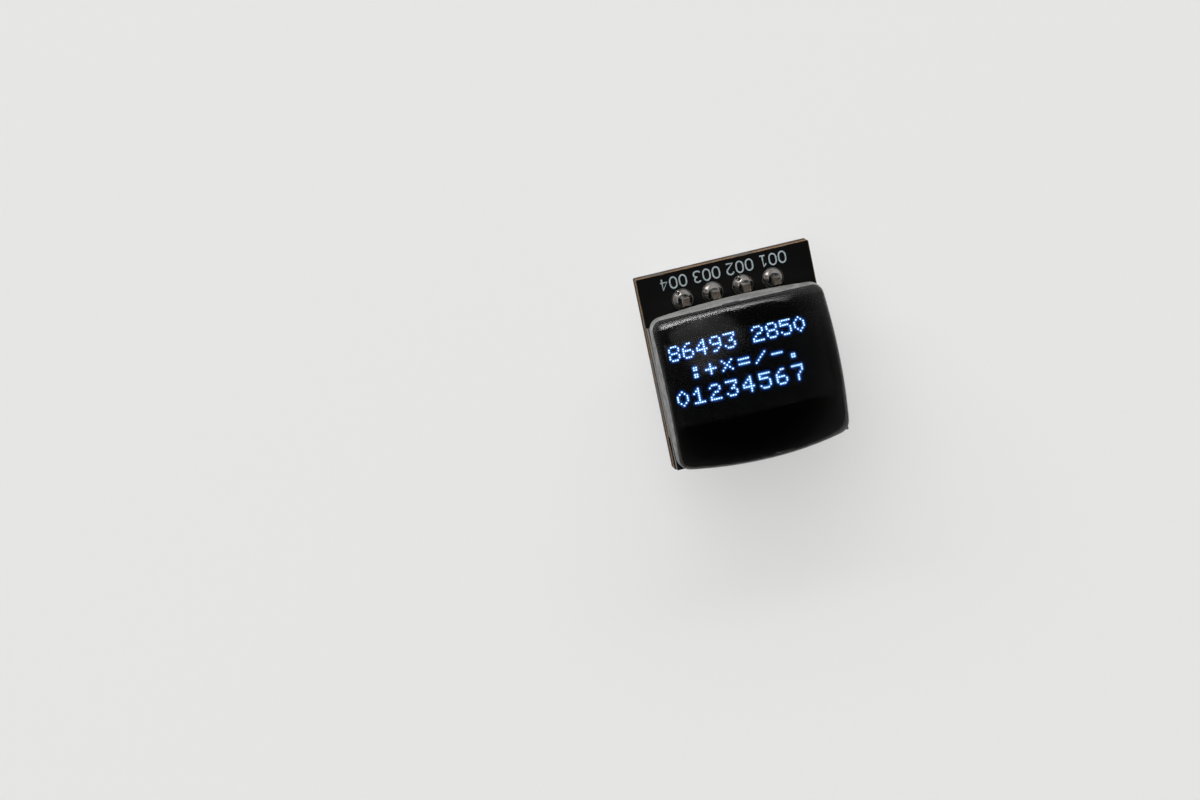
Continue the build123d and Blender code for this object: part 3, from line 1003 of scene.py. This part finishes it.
def lens_mesh():
    """Rings of points up the wall, round the arris in a curve of three controls, and over the dome."""
    mesh = bmesh.new()
    outline = barrel_outline(0)
    inner = barrel_outline(ARRIS)
    base = barrel_outline(BASE_CHAMFER)
    rings = []

    def ring(points, levels):
        rings.append([
            mesh.verts.new((lens_centre.x + point.x, lens_centre.y + point.y, level))
            for point, level in zip(points, levels)
        ])

    ring(base, [lens_low[2]] * len(base))
    ring(outline, [lens_low[2] + BASE_CHAMFER] * len(outline))
    wall_tops = [dome_level(point) - ARRIS for point in outline]
    start = lens_low[2] + BASE_CHAMFER
    for step in range(1, WALL_STEPS + 1):
        ring(outline, [start + (top - start) * step / WALL_STEPS for top in wall_tops])
    inner_levels = [dome_level(point) for point in inner]
    corner_levels = [dome_level(point) for point in outline]
    for step in range(1, ARRIS_STEPS + 1):
        share = step / ARRIS_STEPS
        first, second, third = (1 - share) ** 2, 2 * share * (1 - share), share ** 2
        points, levels = [], []
        for edge, inside, low, peak, high in zip(
            outline, inner, wall_tops, corner_levels, inner_levels
        ):
            points.append(edge * (first + second) + inside * third)
            levels.append(first * low + second * peak + third * high)
        ring(points, levels)
    for step in range(1, DOME_RINGS):
        scaled = [point * (1 - step / DOME_RINGS) for point in inner]
        ring(scaled, [dome_level(point, step / DOME_RINGS) for point in scaled])
    for lower, upper in zip(rings, rings[1:]):
        for i in range(len(lower)):
            j = (i + 1) % len(lower)
            mesh.faces.new((lower[i], lower[j], upper[j], upper[i]))
    top = mesh.verts.new((lens_centre.x, lens_centre.y, lens_high[2]))
    last = rings[-1]
    for i in range(len(last)):
        mesh.faces.new((last[i], last[(i + 1) % len(last)], top))
    mesh.faces.new(list(reversed(rings[0])))
    for face in mesh.faces:
        face.smooth = len(face.verts) < 5
    base_rim = {frozenset((a, b)) for a, b in zip(rings[0], rings[0][1:] + rings[0][:1])}
    base_rim |= {frozenset((a, b)) for a, b in zip(rings[1], rings[1][1:] + rings[1][:1])}
    for edge in mesh.edges:
        edge.smooth = frozenset(edge.verts) not in base_rim
    data = bpy.data.meshes.new("magnifier")
    mesh.to_mesh(data)
    mesh.free()
    return data


CLEAR = (0.97, 0.98, 0.98, 1)
SMEAR_SIZE = 2.5 * MM
FROST_SHADE = (0.22, 0.23, 0.235, 1)
FROST_PALE = (0.60, 0.60, 0.58, 1)
RIM_HIGHLIGHT_CREAM = (0.86, 0.83, 0.74, 1)
RIM_HIGHLIGHT_FROM = 0.12 * MM
RIM_HIGHLIGHT_TO = 0.25 * MM
GRIT_SIZE = 0.07 * MM
CLOUD_SIZE = 0.9 * MM
GRIT_RELIEF = 0.03 * MM


def clear_acrylic():
    """The polished face, with faint smears."""
    finish = Finish("clear_acrylic", {
        "Base Color": CLEAR,
        "IOR": 1.49,
        "Transmission Weight": 1.0,
    })
    smears = finish.grain(SMEAR_SIZE, 3.0)
    finish.set({"Roughness": 0.08 + 0.04 * smears.ramp(0.55, 0.75)})
    return finish


def frosted_acrylic():
    """The side walls: the mould's spark-eroded texture, and a painted highlight, a pale cream line, where
    they meet the base.
    """
    finish = Finish("frosted_acrylic", {"IOR": 1.49, "Transmission Weight": 0.45})
    grit = finish.grain(GRIT_SIZE, 4.0, 0.7)
    clouds = finish.grain(CLOUD_SIZE, 3.0)
    # Painted highlight: the walls turn pale cream just above the base.
    rim = 1 - finish.level().ramp(lens_low[2] + RIM_HIGHLIGHT_FROM, lens_low[2] + RIM_HIGHLIGHT_TO)
    pale = (0.45 * clouds + 0.55 * grit).ramp(0.42, 0.58)
    body = finish.blend(pale, FROST_SHADE, FROST_PALE)
    finish.set({
        "Base Color": finish.blend(rim, body, RIM_HIGHLIGHT_CREAM),
        "Roughness": 0.4 + 0.25 * grit,
    })
    finish.bump(grit, GRIT_RELIEF, 0.7)
    return finish


magnifier = add_piece("magnifier", lens_mesh(), clear_acrylic(), ["lens"])
magnifier.data.materials.append(frosted_acrylic().material)
for face in magnifier.data.polygons:
    dome_above = dome_level(face.center.to_2d() - lens_centre.to_2d())
    low_enough = face.center.z < dome_above - WALL_UNDER_DOME * ARRIS
    if abs(face.normal.z) < WALL_SLOPE and low_enough:
        face.material_index = 1


# Floor, light and camera
# A plain pale floor under the pin tips, a soft box overhead that glossy surfaces don't mirror, and
# a dark room with one wide window, which only the rolled edge of the lens and the solder mirror.
BACKGROUND = (0.90, 0.90, 0.895, 1)
FLOOR_COLOUR = (0.85, 0.85, 0.845, 1)
FLOOR_PALING = 0.55
FLOOR_REACH = 3.0
floor_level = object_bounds()[0][2]


def plain_floor():
    """A square sheet. To the camera it is partly a plain pale light, and its shadow stays."""
    mesh = bpy.data.meshes.new("floor")
    corners = [
        (side_x * FLOOR_REACH, side_y * FLOOR_REACH, floor_level)
        for side_x, side_y in ((-1, -1), (1, -1), (1, 1), (-1, 1))
    ]
    mesh.from_pydata(corners, [], [(0, 1, 2, 3)])
    floor = bpy.data.objects.new("floor", mesh)
    bpy.context.scene.collection.objects.link(floor)
    finish = Finish("floor", {"Base Color": FLOOR_COLOUR, "Roughness": 0.9, "Specular IOR Level": 0.1})
    lit = Wire(finish.tree, finish.shader.outputs["BSDF"])
    pale = finish.node("Emission", {}, {"Color": BACKGROUND})
    mixed = finish.node("MixShader", {}, {0: finish.ray_from_camera() * FLOOR_PALING, 1: lit, 2: pale})
    plug(finish.tree, finish.tree.nodes["Material Output"].inputs["Surface"], mixed)
    mesh.materials.append(finish.material)


SOFT_BOX_TOWARDS = (-0.3, 0.45, 0.9)
SOFT_BOX_DISTANCE = 2.0
SOFT_BOX_SIZE = (1.3, 1.3)
SOFT_BOX_WATTS = 19.0


def lamp(name, direction, distance, size, watts):
    """A soft box that lights the surfaces but isn't mirrored in them."""
    light = bpy.data.lights.new(name, "AREA")
    light.shape = "RECTANGLE"
    light.size = size[0]
    light.size_y = size[1]
    light.energy = watts
    holder = bpy.data.objects.new(name, light)
    out = Vector(direction).normalized()
    holder.location = screen_centre + out * distance
    holder.rotation_euler = out.to_track_quat("Z", "Y").to_euler()
    holder.visible_glossy = False
    bpy.context.scene.collection.objects.link(holder)


# Brightness of the room by height, as the sine of the angle above the floor.
ROOM_STOPS = ((0.0, 0.60), (0.17, 0.52), (0.34, 0.34), (0.46, 0.18), (0.64, 0.06), (1.0, 0.03))
DARK_SIDE = 0.75
DARK_SIDE_TURN = 0.6
# The window stands on an upright plane one unit away: its places across and up are on that plane.
WINDOW_AZIMUTH = math.radians(88)
WINDOW_ACROSS = (-1.15, 1.5)
WINDOW_FADE_RIGHT = 1.2
WINDOW_FADE_LEFT = 0.3
WINDOW_UP = (0.35, 1.0)
PANE_FADE = 0.2
LINTEL_LOW = 0.78
WINDOW_SOFTNESS = 0.05
PANE_BRIGHTNESS = 3.0
LINTEL_BRIGHTNESS = 6.0
NEARLY_ZERO = 0.01


def room():
    """Light from the room by direction: dim walls, a dark ceiling and one window."""
    world = bpy.data.worlds.new("room")
    bpy.context.scene.world = world
    world.use_nodes = True
    sky = Nodes(world.node_tree)
    x, y, z = sky.parts(sky.node("TexCoord", {}, {}, "Generated"))
    towards = (math.cos(WINDOW_AZIMUTH), math.sin(WINDOW_AZIMUTH))
    ahead = x * towards[0] + y * towards[1]
    aside = x * -towards[1] + y * towards[0]
    across = aside / ahead.most(NEARLY_ZERO)
    up = z / ahead.most(NEARLY_ZERO)
    right, left = WINDOW_ACROSS
    sides = across.ramp(right, right + WINDOW_FADE_RIGHT) * (1 - across.ramp(left - WINDOW_FADE_LEFT, left))
    under_top = 1 - up.ramp(WINDOW_UP[1] - WINDOW_SOFTNESS, WINDOW_UP[1])
    pane = PANE_BRIGHTNESS * up.ramp(WINDOW_UP[0], WINDOW_UP[0] + PANE_FADE)
    lintel = LINTEL_BRIGHTNESS * up.ramp(LINTEL_LOW - WINDOW_SOFTNESS, LINTEL_LOW + WINDOW_SOFTNESS)
    in_front = ahead.ramp(0.0, WINDOW_SOFTNESS)
    window = in_front * sides * under_top * (pane + lintel)
    walls = sky.node("ValToRGB", {"stops": ROOM_STOPS}, {"Fac": z}, "Color")
    behind = 1 - ahead.ramp(-DARK_SIDE_TURN, DARK_SIDE_TURN)
    walls = sky.blend(DARK_SIDE * behind, walls, DARK)
    light = sky.blend(1.0, walls, window, "ADD")
    seen = sky.blend(sky.ray_from_camera(), light, BACKGROUND)
    plug(sky.tree, sky.tree.nodes["Background"].inputs["Color"], seen)


CAMERA_DISTANCE = 323.7 * MM
CAMERA_LENS = 120.0
CAMERA_SENSOR = 36.0
CAMERA_CLIP = 10 * MM
CAMERA_ELEVATION = math.radians(76.42)
CAMERA_AZIMUTH = math.radians(123.92)
CAMERA_ROLL = math.radians(133.35)
AIM = Vector((-12.1 * MM, -6.5 * MM, board_high[2]))


def set_camera():
    """The photograph's view, from the angle that its perspective gives."""
    data = bpy.data.cameras.new("camera")
    data.lens = CAMERA_LENS
    data.sensor_width = CAMERA_SENSOR
    data.clip_start = CAMERA_CLIP
    camera = bpy.data.objects.new("camera", data)
    level = math.cos(CAMERA_ELEVATION)
    out = Vector((
        level * math.cos(CAMERA_AZIMUTH),
        level * math.sin(CAMERA_AZIMUTH),
        math.sin(CAMERA_ELEVATION),
    ))
    facing = out.to_track_quat("Z", "Y").to_matrix().to_4x4()
    turn = facing @ Matrix.Rotation(CAMERA_ROLL, 4, "Z")
    camera.matrix_world = Matrix.Translation(AIM + out * CAMERA_DISTANCE) @ turn
    bpy.context.scene.collection.objects.link(camera)
    bpy.context.scene.camera = camera


plain_floor()
lamp("soft_box", SOFT_BOX_TOWARDS, SOFT_BOX_DISTANCE, SOFT_BOX_SIZE, SOFT_BOX_WATTS)
room()
set_camera()
bpy.context.scene.view_settings.view_transform = "Standard"
